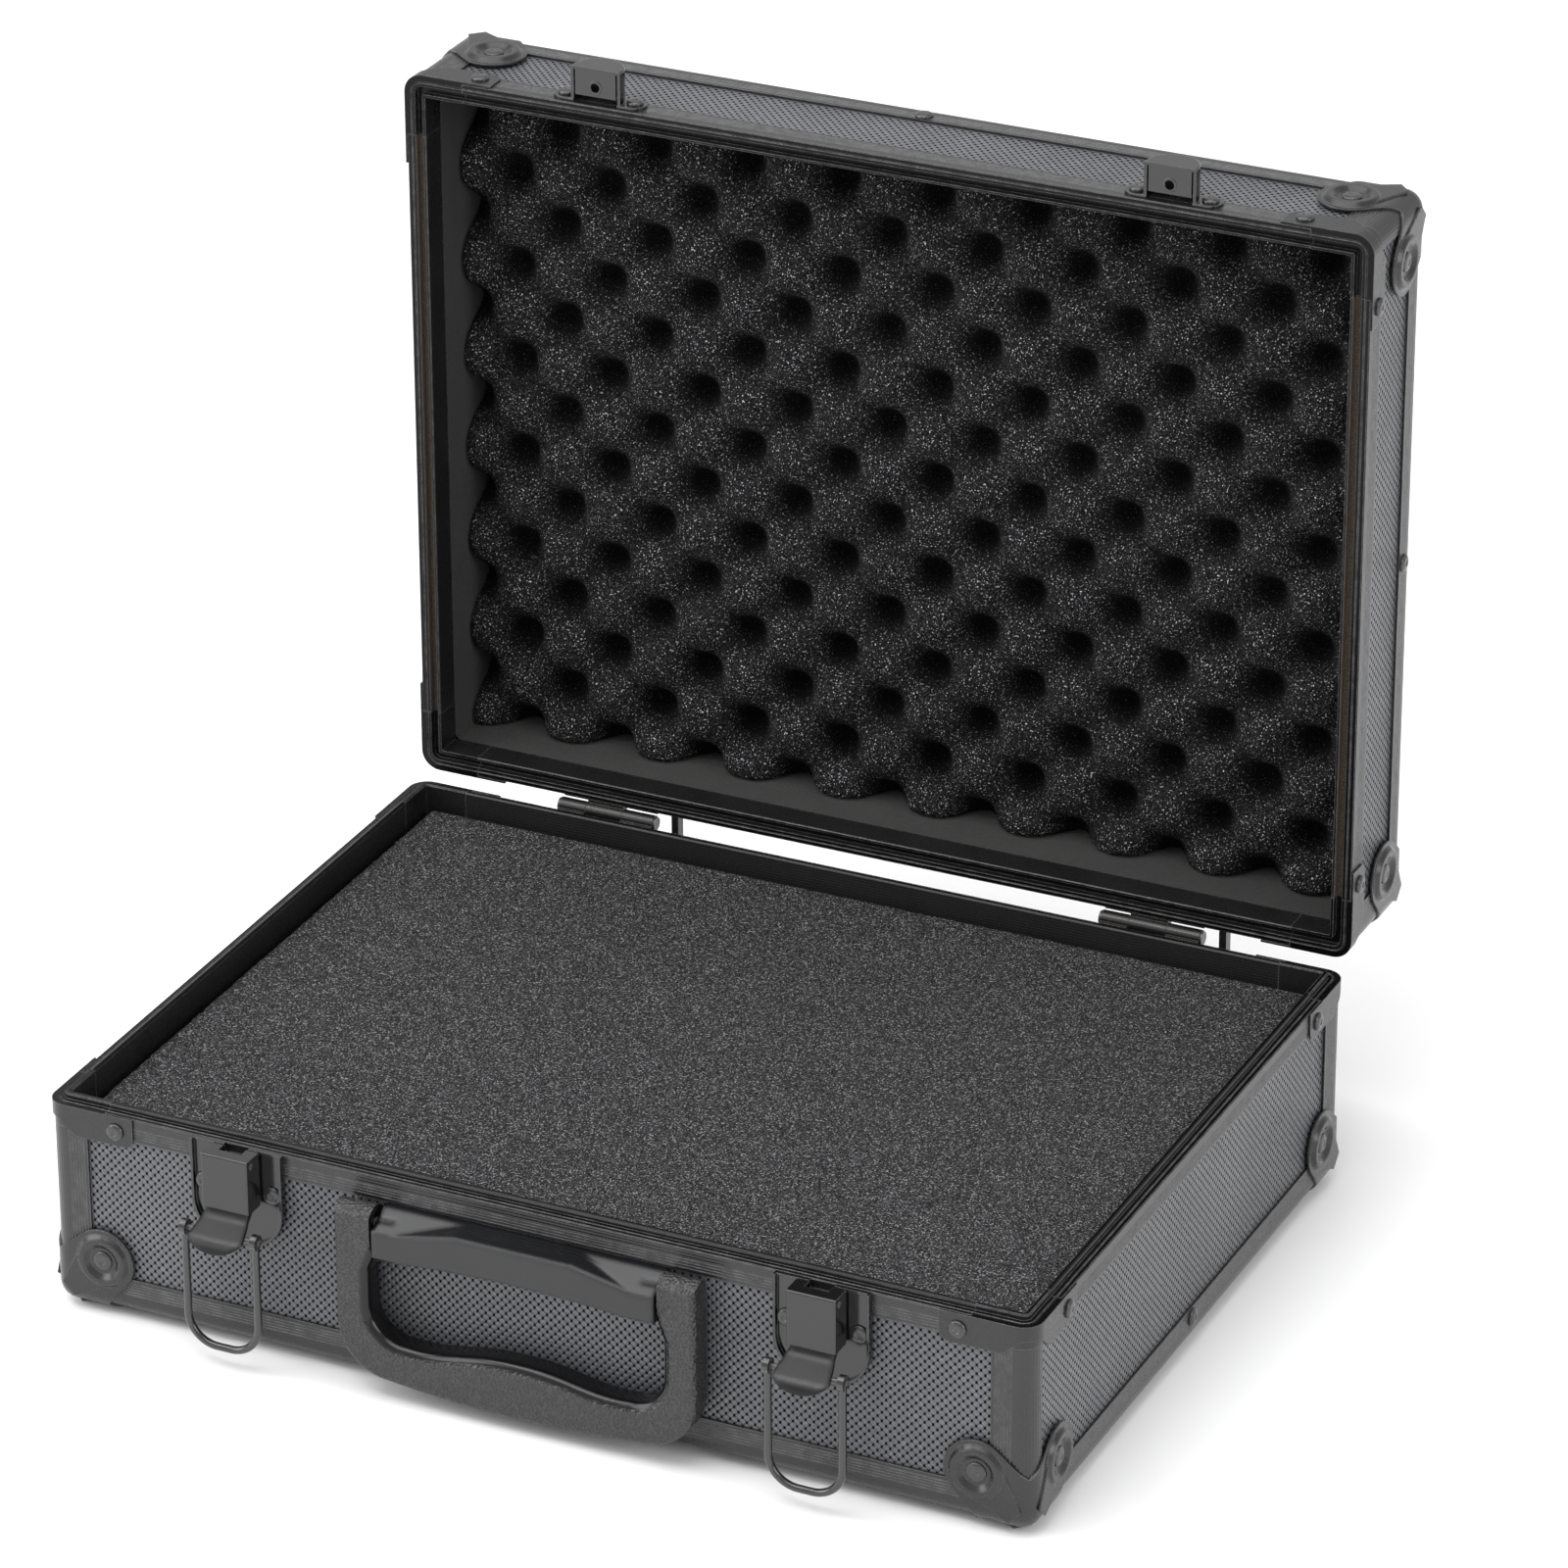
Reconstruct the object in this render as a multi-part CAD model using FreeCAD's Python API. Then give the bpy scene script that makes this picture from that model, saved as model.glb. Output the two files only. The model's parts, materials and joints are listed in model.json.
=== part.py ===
import FreeCAD, Part
import math
import os

# Small aluminium-framed attache case, 405 x 302 x 144 mm closed, standing open with
# its lid resting on the hinge stops.  Millimetres.  +X right, +Y to the hinges, +Z up.
# The origin is the middle of the open case's footprint, on the plane that it rests
# on, which is that of the lowest faces of its four bottom corner protectors.
#
# The pieces are built about the middle of the base.  The lid is built closed, then
# swung open about the hinge axis, and everything is moved to the middle of its footprint.

# ---- overall sizes -----------------------------------------------------------------
WIDTH = 400.0
DEPTH = 297.0
BASE_HEIGHT = 84.4
LID_HEIGHT = 54.5
RIM_Z = 87.0
CORNER_RADIUS = 7.0

# ---- panels ------------------------------------------------------------------------
LEG_THICK = 1.2
PANEL_THICK = 4.0
PANEL_INNER = LEG_THICK + PANEL_THICK

# ---- extruded edge profiles, posts and rims ----------------------------------------
BASE_EDGE_LEG = 15.4
LID_EDGE_LEG = 14.5
EDGE_FLOOR_LEG = 16.0
EDGE_ROUND = 7.0
EDGE_BLOCK = 7.2
POST_WIDE_LEG = 16.5
POST_SHORT_LEG = 8.3
POST_BACK_LEG = 18.0
RIB_PITCH = 1.2
RIB_DEPTH = 0.2
BASE_RIM_LEG = 9.5
LID_RIM_LEG = 10.6
RIM_WEB = 2.0
RIM_INNER_DEPTH = 12.0
TONGUE_FROM = 4.2
TONGUE_TO = 6.6
TONGUE_HEIGHT = 2.3
GROOVE_FROM = 3.8
GROOVE_TO = 7.0
GROOVE_DEPTH = 2.8
LIP_TO = 8.2

# ---- rim corner pieces -------------------------------------------------------------
RIM_JOINT = 24.4
CORNER_PLATE_REACH = 36.5
CORNER_PLATE_DROP = 12.2
CORNER_PLATE_THICK = 0.8
CORNER_RIVET_ALONG = 29.2
CORNER_RIVET_DROP = 6.4
RIM_RIVET_RADIUS = 3.5
RIM_RIVET_HEIGHT = 1.5
# radius and height of a rivet head's turned outline, as shares of its own sizes
RIVET_PROFILE = ((0, 0), (1, 0), (1, 0.4), (0.93, 0.66), (0.77, 0.87), (0.54, 1), (0.36, 1),
                 (0.26, 0.8), (0, 0.8))

# ---- three-lobed corner protectors -------------------------------------------------
LOBE_CENTRE = 21.3
LOBE_RADIUS = 13.0
PROTECTOR_THICK = 1.0
PROTECTOR_ROUND = 7.0
DISH_RADIUS = 11.2
DISH_HEIGHT = 1.6
DISH_HOLLOW = 7.6
DISH_ROUND = 0.5
WEB_HEIGHT = 0.6
PROTECTOR_RIVET_RADIUS = 3.9
PROTECTOR_RIVET_HEIGHT = 2.0

# ---- foam and lining ---------------------------------------------------------------
LINING_THICK = 1.0
BASE_FOAM_BELOW_RIM = 6.5
LID_FOAM_BELOW_RIM = 25.0
FOAM_INSET = 9.0
BASE_FOAM_INSET_LEFT = 10.6

# ---- hinges ------------------------------------------------------------------------
HINGE_CENTRES = (-117.0, 118.3)
HINGE_BEHIND = 4.5
KNUCKLE_RADIUS = 3.2
KNUCKLE_LENGTHS = (11.7, 16.0, 14.0)
KNUCKLE_GAP = 0.2
HINGE_PIN_RADIUS = 1.6
LEAF_THICK = 1.5
LEAF_HEIGHT = 25.0
LEAF_CLEAR = 2.3
STOP_OFFSET = 7.0
STOP_THICK = 3.0
LID_OPEN_ANGLE = 90.0

# ---- latches (heights from the resting plane, "out" from the front face) -----------
LATCH_CENTRES = (-119.0, 118.5)
PLATE_HALF = 18.9
PLATE_TOP = 87.0
PLATE_BOTTOM = 46.5
PLATE_ROUND = 16.0
PLATE_THICK = 1.2
PLATE_FLANGE = 3.0
PLATE_RIVET_SIDE = 14.4
PLATE_RIVET_Z = 69.5
EAR_HALF = 4.4
EAR_THICK = 1.0
EAR_ROUND = 1.7
LEVER_AXIS_OUT = 8.6
LEVER_AXIS_Z = 84.2
LEVER_PIN_RADIUS = 1.2
COVER_HALF = 9.75
COVER_BACK = 2.4
COVER_FRONT = 11.5
COVER_BOTTOM = 65.0
COVER_WALL = 1.0
SLOT_HALF = 4.7
CHEEK_HALF = 8.65
CHEEK_THICK = 1.1
TAB_REACH = 23.9
BAIL_AXIS_OUT = 16.0
BAIL_AXIS_Z = 57.4
BAIL_PIN_RADIUS = 1.1
BAIL_PIN_HALF = 16.6
BAIL_WIRE = 1.5
BAIL_ARM = 14.75
BAIL_LOW = 9.1
BAIL_BEND = 12.0
BAIL_EYE = 3.0

# ---- catches on the lid ------------------------------------------------------------
CATCH_HALF = 10.5
CATCH_REACH = 14.5
CATCH_WALL = 1.2
CATCH_FOOT_HALF = 19.5
CATCH_FLAT_Z = 89.0
CATCH_ROUND_Z = 91.0
CATCH_RIVET_Z = 93.6
CATCH_TAB_HALF = 8.6
CATCH_TAB_BACK = 3.0
CATCH_HOLE_OUT = 6.8

# ---- carrying handle ---------------------------------------------------------------
HANDLE_HALF = 73.3
LUG_INNER = 58.3
HANDLE_BACK = 1.5
HANDLE_FRONT = 13.0
HANDLE_PIVOT_OUT = 7.25
HANDLE_PIVOT_Z = 72.5
HANDLE_LUG_ROUND = 6.9
BRACKET_HALF = 57.2
BRACKET_FRONT = 14.0
BRACKET_ROUND = 0.8
BRACKET_BOTTOM = 61.2
BRACKET_BACK_TOP = 77.3
HANDLE_PIN_RADIUS = 2.0

HALF_W = WIDTH / 2
HALF_D = DEPTH / 2
HINGE_Y = HALF_D + HINGE_BEHIND
HINGE_Z = RIM_Z
LID_BACK = HINGE_Y + LID_HEIGHT + PROTECTOR_THICK + DISH_HEIGHT
FOOTPRINT_MIDDLE = (LID_BACK - HALF_D - TAB_REACH) / 2
SIDES = ("front", "back", "left", "right")
CORNERS = [(sx, sy) for sy in (-1, 1) for sx in (-1, 1)]

V = FreeCAD.Vector
os.makedirs("parts", exist_ok=True)


# ---- small helpers -----------------------------------------------------------------
def block(x0, x1, y0, y1, z0, z1):
    return Part.makeBox(x1 - x0, y1 - y0, z1 - z0, V(x0, y0, z0))


def rod(start, direction, radius, length):
    return Part.makeCylinder(radius, length, start, direction)


def prism(points, along):
    """Closed polygon swept along a vector."""
    loop = list(points) + [points[0]]
    return Part.Face(Part.makePolygon(loop)).extrude(along)


def outline(items):
    """Wire from points.

    ("arc", middle, end) adds a circular arc from the last point and
    ("curve", point, ..., end) a smooth curve through all its points.
    """
    edges = []
    last = items[0]
    for item in items[1:] + [items[0]]:
        if isinstance(item, tuple):
            if item[0] == "arc":
                edges.append(Part.Arc(last, item[1], item[2]).toShape())
            else:
                curve = Part.BSplineCurve()
                curve.interpolate([last] + list(item[1:]))
                edges.append(curve.toShape())
            last = item[-1]
        elif (item - last).Length > 1e-6:
            edges.append(Part.LineSegment(last, item).toShape())
            last = item
    return Part.Wire(edges)


def slab(inset, z0, z1, radius=CORNER_RADIUS):
    """Rounded rectangle of the case's plan, set in by inset."""
    hx, hy = HALF_W - inset, HALF_D - inset
    solid = block(-hx, hx, -hy, hy, z0, z1)
    round_by = max(radius - inset, 0.8)
    uprights = [e for e in solid.Edges if abs(e.BoundBox.ZLength - (z1 - z0)) < 1e-6
                and e.BoundBox.XLength < 1e-6 and e.BoundBox.YLength < 1e-6]
    return solid.makeFillet(round_by, uprights)


def rounded_body(height):
    """Plan from the rim plane up to the outer face, its outer edges all rounded."""
    solid = block(-HALF_W, HALF_W, -HALF_D, HALF_D, -1, height)
    edges = [e for e in solid.Edges if e.CenterOfMass.z > -0.9]
    return solid.makeFillet(CORNER_RADIUS, edges)


def ring(inset0, inset1, z0, z1):
    return slab(inset0, z0, z1).cut(slab(inset1, z0 - 1, z1 + 1))


def wedge(side, z0, z1):
    """Mitred quarter of the plan that belongs to one side."""
    far = 30.0
    hx, hy = HALF_W + far, HALF_D + far
    mid = HALF_W - HALF_D
    loops = {
        "front": [(-hx, -hy), (hx, -hy), (mid, 0), (-mid, 0)],
        "back": [(hx, hy), (-hx, hy), (-mid, 0), (mid, 0)],
        "left": [(-hx, hy), (-hx, -hy), (-mid, 0)],
        "right": [(hx, -hy), (hx, hy), (mid, 0)],
    }
    return prism([V(x, y, z0) for x, y in loops[side]], V(0, 0, z1 - z0))


def place(side, along, inset, z):
    """Point given by its place along a side, its depth in from the face and height."""
    if side == "front":
        return V(along, -HALF_D + inset, z)
    if side == "back":
        return V(along, HALF_D - inset, z)
    if side == "left":
        return V(-HALF_W + inset, along, z)
    return V(HALF_W - inset, along, z)


def along_axis(side):
    return V(1, 0, 0) if side in ("front", "back") else V(0, 1, 0)


def outward(side):
    return {"front": V(0, -1, 0), "back": V(0, 1, 0),
            "left": V(-1, 0, 0), "right": V(1, 0, 0)}[side]


def side_half(side):
    return HALF_W if side in ("front", "back") else HALF_D


def ribbed(start, end, inward):
    """Points from start to end with fine V ribs cut towards inward."""
    run = end - start
    count = int((run.Length - 1.6) / RIB_PITCH)
    step = run * (1.0 / run.Length)
    margin = (run.Length - count * RIB_PITCH) / 2
    points = [start]
    for k in range(count):
        centre = start + step * (margin + (k + 0.5) * RIB_PITCH)
        points.append(centre - step * 0.22)
        points.append(centre + inward * RIB_DEPTH)
        points.append(centre + step * 0.22)
    points.append(end)
    return points


def rivet_head(centre, normal, radius, height):
    """Flat-based domed rivet head with a small recess in its crown."""
    across = normal.cross(V(0, 0, 1) if abs(normal.z) < 0.5 else V(1, 0, 0))
    loop = [centre + across * (r * radius) + normal * (h * height) for r, h in RIVET_PROFILE]
    face = Part.Face(Part.makePolygon(loop + [loop[0]]))
    return face.revolve(centre, normal, 360)


def group(solids):
    flat = []
    for solid in solids:
        flat.extend(solid.Solids)
    return flat[0] if len(flat) == 1 else Part.makeCompound(flat)


# ---- the two shells ----------------------------------------------------------------
# A shell is built with its rim on z = 0 and its outer face at z = height.  The lid
# stands that way up on the base; the base is the mirror image, hanging below its rim.
def edge_profiles(height, leg):
    """Four mitred extrusions round the outer edge of a shell."""
    bars = []
    body = rounded_body(height)
    for side in SIDES:
        half = side_half(side)

        def at(inset, depth):
            return place(side, -half, inset, height - depth)

        inward = -outward(side)
        turn = EDGE_ROUND * (1 - math.sqrt(0.5))
        items = ribbed(at(0, leg), at(0, EDGE_ROUND), inward)
        items.append(("arc", at(turn, turn), at(EDGE_ROUND, 0)))
        items += ribbed(at(EDGE_ROUND, 0), at(EDGE_FLOOR_LEG, 0), V(0, 0, -1))[1:]
        items += [at(EDGE_FLOOR_LEG, LEG_THICK), at(EDGE_BLOCK, LEG_THICK),
                  at(EDGE_BLOCK, PANEL_INNER), at(PANEL_INNER, PANEL_INNER),
                  at(PANEL_INNER, EDGE_BLOCK), at(LEG_THICK, EDGE_BLOCK), at(LEG_THICK, leg)]
        bar = Part.Face(outline(items)).extrude(along_axis(side) * (2 * half))
        bars.append(bar.common(wedge(side, -1, height + 1)).common(body))
    return group(bars)


def corner_posts(height, leg, rim_leg):
    """Four upright angle extrusions between the edge profile and the rim."""
    posts = []
    for sx, sy in CORNERS:
        wide = POST_WIDE_LEG if sy < 0 else POST_SHORT_LEG
        deep = POST_SHORT_LEG if sy < 0 else POST_BACK_LEG
        into_x, into_y = V(-sx, 0, 0), V(0, -sy, 0)
        corner = V(sx * HALF_W, sy * HALF_D, rim_leg)

        def at(a, b):
            return corner + into_x * a + into_y * b

        r = CORNER_RADIUS
        q = r * (1 - math.sqrt(0.5))
        inner_r = r - LEG_THICK
        p = LEG_THICK + inner_r * (1 - math.sqrt(0.5))
        items = ribbed(at(wide, 0), at(r, 0), into_y)
        items.append(("arc", at(q, q), at(0, r)))
        items += ribbed(at(0, r), at(0, deep), into_x)[1:]
        items.append(at(LEG_THICK, deep))
        items.append(at(LEG_THICK, r))
        items.append(("arc", at(p, p), at(r, LEG_THICK)))
        items.append(at(wide, LEG_THICK))
        posts.append(Part.Face(outline(items)).extrude(V(0, 0, height - leg - rim_leg)))
    return group(posts)


def rim_section(side, along, is_base):
    """Cross-section of the straight rim extrusion of one side."""
    leg = BASE_RIM_LEG if is_base else LID_RIM_LEG

    def at(inset, z):
        return place(side, along, inset, z)

    inward = -outward(side)
    items = [at(0, 0.4)]
    items += ribbed(at(0, 2.4), at(0, leg), inward)
    items += [at(LEG_THICK, leg)]
    if is_base:
        tip = -TONGUE_HEIGHT
        mid = (TONGUE_FROM + TONGUE_TO) / 2
        bend = TONGUE_TO - 1.2
        items += [at(LEG_THICK, RIM_WEB), at(bend, RIM_WEB), at(bend, RIM_INNER_DEPTH),
                  at(TONGUE_TO, RIM_INNER_DEPTH), at(TONGUE_TO, tip + 0.8),
                  ("arc", at(mid, tip), at(TONGUE_FROM, tip + 0.8)),
                  at(TONGUE_FROM, 0.0)]
    else:
        floor = GROOVE_DEPTH + 1.2
        items += [at(LEG_THICK, floor), at(GROOVE_TO, floor), at(GROOVE_TO, RIM_INNER_DEPTH),
                  at(LIP_TO, RIM_INNER_DEPTH), at(LIP_TO, 0.3), at(LIP_TO - 0.3, 0.0),
                  at(GROOVE_TO, 0.0), at(GROOVE_TO, GROOVE_DEPTH),
                  at(GROOVE_FROM, GROOVE_DEPTH), at(GROOVE_FROM, 0.0)]
    items += [at(2.5, 0.0), at(2.2, 0.35), at(1.9, 0.0), at(0.4, 0.0)]
    return Part.Face(outline(items))


def rim_profiles(is_base):
    bars = []
    for side in SIDES:
        half = side_half(side) - RIM_JOINT - 0.1
        face = rim_section(side, -half, is_base)
        bars.append(face.extrude(along_axis(side) * (2 * half)))
    return group(bars)


def rim_ring(is_base):
    """The rim section run right round the plan, without its ribs."""
    leg = BASE_RIM_LEG if is_base else LID_RIM_LEG
    band = ring(0, LEG_THICK, 0, leg)
    if is_base:
        band = band.fuse([ring(0, TONGUE_TO, 0, RIM_WEB),
                          ring(TONGUE_TO - 1.2, TONGUE_TO, 0, RIM_INNER_DEPTH),
                          ring(TONGUE_FROM, TONGUE_TO, -TONGUE_HEIGHT + 0.5, 0),
                          ring(TONGUE_FROM + 0.5, TONGUE_TO - 0.5, -TONGUE_HEIGHT, 0)])
    else:
        floor = GROOVE_DEPTH + 1.2
        band = band.fuse([ring(0, GROOVE_FROM, 0, floor),
                          ring(0, LIP_TO, GROOVE_DEPTH, floor),
                          ring(GROOVE_TO, LIP_TO, 0, RIM_INNER_DEPTH)])
    return band.cut(ring(1.9, 2.5, -0.1, 0.3)).removeSplitter()


def rim_corners(is_base):
    """Four corner castings: the rim section round the corner and a riveted plate."""
    band = rim_ring(is_base)
    plate_band = ring(-CORNER_PLATE_THICK, 0, 0, CORNER_PLATE_DROP)
    pieces = []
    for sx, sy in CORNERS:
        x, y = sx * HALF_W, sy * HALF_D

        def zone(reach, z0, z1):
            xs = sorted((x - sx * reach, x + sx * 5))
            ys = sorted((y - sy * reach, y + sy * 5))
            return block(xs[0], xs[1], ys[0], ys[1], z0, z1)

        body = band.common(zone(RIM_JOINT, -5, 20))
        plate = plate_band.common(zone(CORNER_PLATE_REACH, -5, 20))
        # the plate's lower edge climbs towards the upright corner of the case
        low, high = CORNER_PLATE_DROP, 6.0
        for a, b in ((V(-sx, 0, 0), V(0, -sy, 0)), (V(0, -sy, 0), V(-sx, 0, 0))):
            start = V(x, y, 0) - a * 5 - b * 5
            loop = [start + V(0, 0, low + 1), start + a * 18 + V(0, 0, low + 1),
                    start + a * 17 + V(0, 0, low), start + a * 9.5 + V(0, 0, high),
                    start + V(0, 0, high)]
            plate = plate.cut(prism(loop, b * 8.0))
            # rounded free end
            tip = V(x, y, 0) + a * (CORNER_PLATE_REACH - 4) + V(0, 0, low - 4)
            chip = prism([tip, tip + a * 6, tip + a * 6 + V(0, 0, 6), tip + V(0, 0, 6)], b * 4.0)
            chip.translate(-b * 2.0)
            chip = chip.cut(rod(tip - b * 3.0, b, 4.0, 6.0))
            plate = plate.cut(chip)
        pieces.append(body.fuse(plate).removeSplitter())
    return group(pieces)


def wall_panels(height, is_base):
    """Front, back, left and right boards between the edge block and the rim."""
    top = RIM_WEB if is_base else GROOVE_DEPTH + 1.2
    panels = {}
    for side in SIDES:
        half = side_half(side) - EDGE_BLOCK
        section = [place(side, -half, i, z) for i, z in
                   ((LEG_THICK, top), (PANEL_INNER, top),
                    (PANEL_INNER, height - EDGE_BLOCK), (LEG_THICK, height - EDGE_BLOCK))]
        panels[side] = prism(section, along_axis(side) * (2 * half))
    return panels


def face_panel(height):
    """The big board that closes a shell."""
    hx, hy = HALF_W - EDGE_BLOCK, HALF_D - EDGE_BLOCK
    return block(-hx, hx, -hy, hy, height - PANEL_INNER, height - LEG_THICK)


def lining(height):
    """Thin felt tray on the inside of the boards, ending under the rim's inner leg."""
    top = RIM_INNER_DEPTH + 0.2
    floor = height - PANEL_INNER
    return slab(EDGE_BLOCK, top, floor).cut(slab(EDGE_BLOCK + LINING_THICK, top - 1, floor - LINING_THICK))


def protector():
    """Pressed steel cap for the corner at the origin; the case fills +x +y +z."""
    reach = 60.0
    t, r = PROTECTOR_THICK, PROTECTOR_ROUND

    def rounded(offset, radius):
        solid = Part.makeBox(reach, reach, reach, V(-offset, -offset, -offset))
        near = [e for e in solid.Edges
                if sum(1 for c in e.CenterOfMass if c < 1e-3 - offset) == 2]
        return solid.makeFillet(radius, near)

    shell = rounded(t, r + t).cut(rounded(0, r))
    c, lobe = LOBE_CENTRE, LOBE_RADIUS
    # one lobe on the plane z = 0: a disc joined to the corner by a web
    web = [V(-3, -3, -3), V(c - 3.5, -3, -3), V(c + 9.9, c - 8.4, -3),
           V(c - 8.4, c + 9.9, -3), V(-3, c - 3.5, -3)]
    lobe_z = prism(web, V(0, 0, 12)).fuse(rod(V(c, c, -3), V(0, 0, 1), lobe, 12))
    lobe_x = lobe_z.copy()
    lobe_x.rotate(V(0, 0, 0), V(1, 1, 1), 120)
    lobe_y = lobe_z.copy()
    lobe_y.rotate(V(0, 0, 0), V(1, 1, 1), 240)
    cap = shell.common(lobe_z.fuse([lobe_x, lobe_y]))
    ribs = []
    for turn in (0, 120, 240):
        cone = Part.makeCone(DISH_RADIUS, DISH_RADIUS - 1.6, DISH_HEIGHT, V(c, c, -t), V(0, 0, -1))
        tail = prism([V(c - 9.3, c + 4.5, -t), V(c + 4.5, c - 9.3, -t),
                      V(8.6, 3.6, -t), V(3.6, 8.6, -t)], V(0, 0, -WEB_HEIGHT))
        bowl = Part.makeCone(DISH_HOLLOW, DISH_HOLLOW - 2.2, DISH_HEIGHT + 0.001,
                             V(c, c, -t - DISH_HEIGHT - 0.001), V(0, 0, 1))
        ring = cone.cut(bowl)
        crest = [e for e in ring.Edges if e.BoundBox.ZMax < 1e-3 - t - DISH_HEIGHT]
        rib = ring.makeFillet(DISH_ROUND, crest).fuse(tail.cut(bowl))
        rib.rotate(V(0, 0, 0), V(1, 1, 1), turn)
        ribs.append(rib)
    return cap.fuse(ribs).removeSplitter()


def at_corners(shape, height):
    """Copies of a corner piece on the four outer corners of a shell."""
    copies = []
    for sx, sy in CORNERS:
        piece = shape.copy()
        piece = piece.mirror(V(0, 0, 0), V(0, 0, 1))
        if sx > 0:
            piece = piece.mirror(V(0, 0, 0), V(1, 0, 0))
        if sy > 0:
            piece = piece.mirror(V(0, 0, 0), V(0, 1, 0))
        piece.translate(V(sx * HALF_W, sy * HALF_D, height))
        copies.append(piece)
    return group(copies)


def protector_rivets(height):
    c = LOBE_CENTRE
    t = PROTECTOR_THICK
    rivets = []
    for sx, sy in CORNERS:
        x, y = sx * HALF_W, sy * HALF_D
        spots = [(V(x - sx * c, y + sy * t, height - c), V(0, sy, 0)),
                 (V(x + sx * t, y - sy * c, height - c), V(sx, 0, 0)),
                 (V(x - sx * c, y - sy * c, height + t), V(0, 0, 1))]
        for spot, normal in spots:
            rivets.append(rivet_head(spot, normal, PROTECTOR_RIVET_RADIUS, PROTECTOR_RIVET_HEIGHT - t))
    return rivets


def rim_rivets():
    rivets = []
    a, d, t = CORNER_RIVET_ALONG, CORNER_RIVET_DROP, CORNER_PLATE_THICK
    for sx, sy in CORNERS:
        x, y = sx * HALF_W, sy * HALF_D
        for spot, normal in ((V(x - sx * a, y + sy * t, d), V(0, sy, 0)),
                             (V(x + sx * t, y - sy * a, d), V(sx, 0, 0))):
            rivets.append(rivet_head(spot, normal, RIM_RIVET_RADIUS, RIM_RIVET_HEIGHT))
    return rivets


def mid_rivets(height, leg):
    """One rivet at the middle of each edge profile's upright leg."""
    rivets = []
    for side in SIDES:
        spot = place(side, 0, 0, height - leg * 0.74)
        rivets.append(rivet_head(spot, outward(side), RIM_RIVET_RADIUS, RIM_RIVET_HEIGHT))
    return rivets


def to_base(shape):
    flipped = shape.mirror(V(0, 0, 0), V(0, 0, 1))
    flipped.translate(V(0, 0, RIM_Z))
    return flipped


def to_lid(shape):
    raised = shape.copy()
    raised.translate(V(0, 0, RIM_Z))
    return raised


nodes = {}
lid_nodes = []


def add(name, shape, on_lid=False):
    nodes[name] = shape
    if on_lid:
        lid_nodes.append(name)


def build_shell(prefix, height, edge_leg, rim_leg, is_base):
    move = to_base if is_base else to_lid
    on_lid = not is_base
    face_name = "bottom" if is_base else "top"
    pieces = {face_name + "_panel": face_panel(height)}
    for side, shape in wall_panels(height, is_base).items():
        pieces[side + "_panel"] = shape
    pieces["edge_profiles"] = edge_profiles(height, edge_leg)
    pieces["corner_posts"] = corner_posts(height, edge_leg, rim_leg)
    pieces["rim_profiles"] = rim_profiles(is_base)
    pieces["rim_corners"] = rim_corners(is_base)
    pieces["corner_protectors"] = at_corners(protector(), height)
    pieces["lining"] = lining(height)
    pieces["protector_rivets"] = group(protector_rivets(height))
    pieces["frame_rivets"] = group(rim_rivets() + mid_rivets(height, edge_leg))
    for name, shape in pieces.items():
        add(prefix + "_" + name, move(shape), on_lid)


def build_foam():
    floor = PANEL_INNER + LINING_THICK
    base_floor = RIM_Z - BASE_HEIGHT + floor
    hx, hy = HALF_W - FOAM_INSET, HALF_D - FOAM_INSET
    base_block = block(-HALF_W + BASE_FOAM_INSET_LEFT, hx, -hy, hy,
                       base_floor, RIM_Z - BASE_FOAM_BELOW_RIM)
    uprights = [e for e in base_block.Edges
                if e.BoundBox.XLength < 1e-6 and e.BoundBox.YLength < 1e-6]
    add("base_foam_block", base_block.makeFillet(4.0, uprights))
    lid_slab = block(-hx, hx, -hy, hy, RIM_Z + LID_FOAM_BELOW_RIM, RIM_Z + LID_HEIGHT - floor)
    add("lid_egg_crate_foam", lid_slab, True)


# ---- hinges ------------------------------------------------------------------------
def hinge_spans(centre):
    """Start and end of each of the three knuckles along X."""
    start = centre - sum(KNUCKLE_LENGTHS) / 2
    spans = []
    for length in KNUCKLE_LENGTHS:
        spans.append((start + KNUCKLE_GAP / 2, start + length - KNUCKLE_GAP / 2))
        start += length
    return spans


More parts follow.
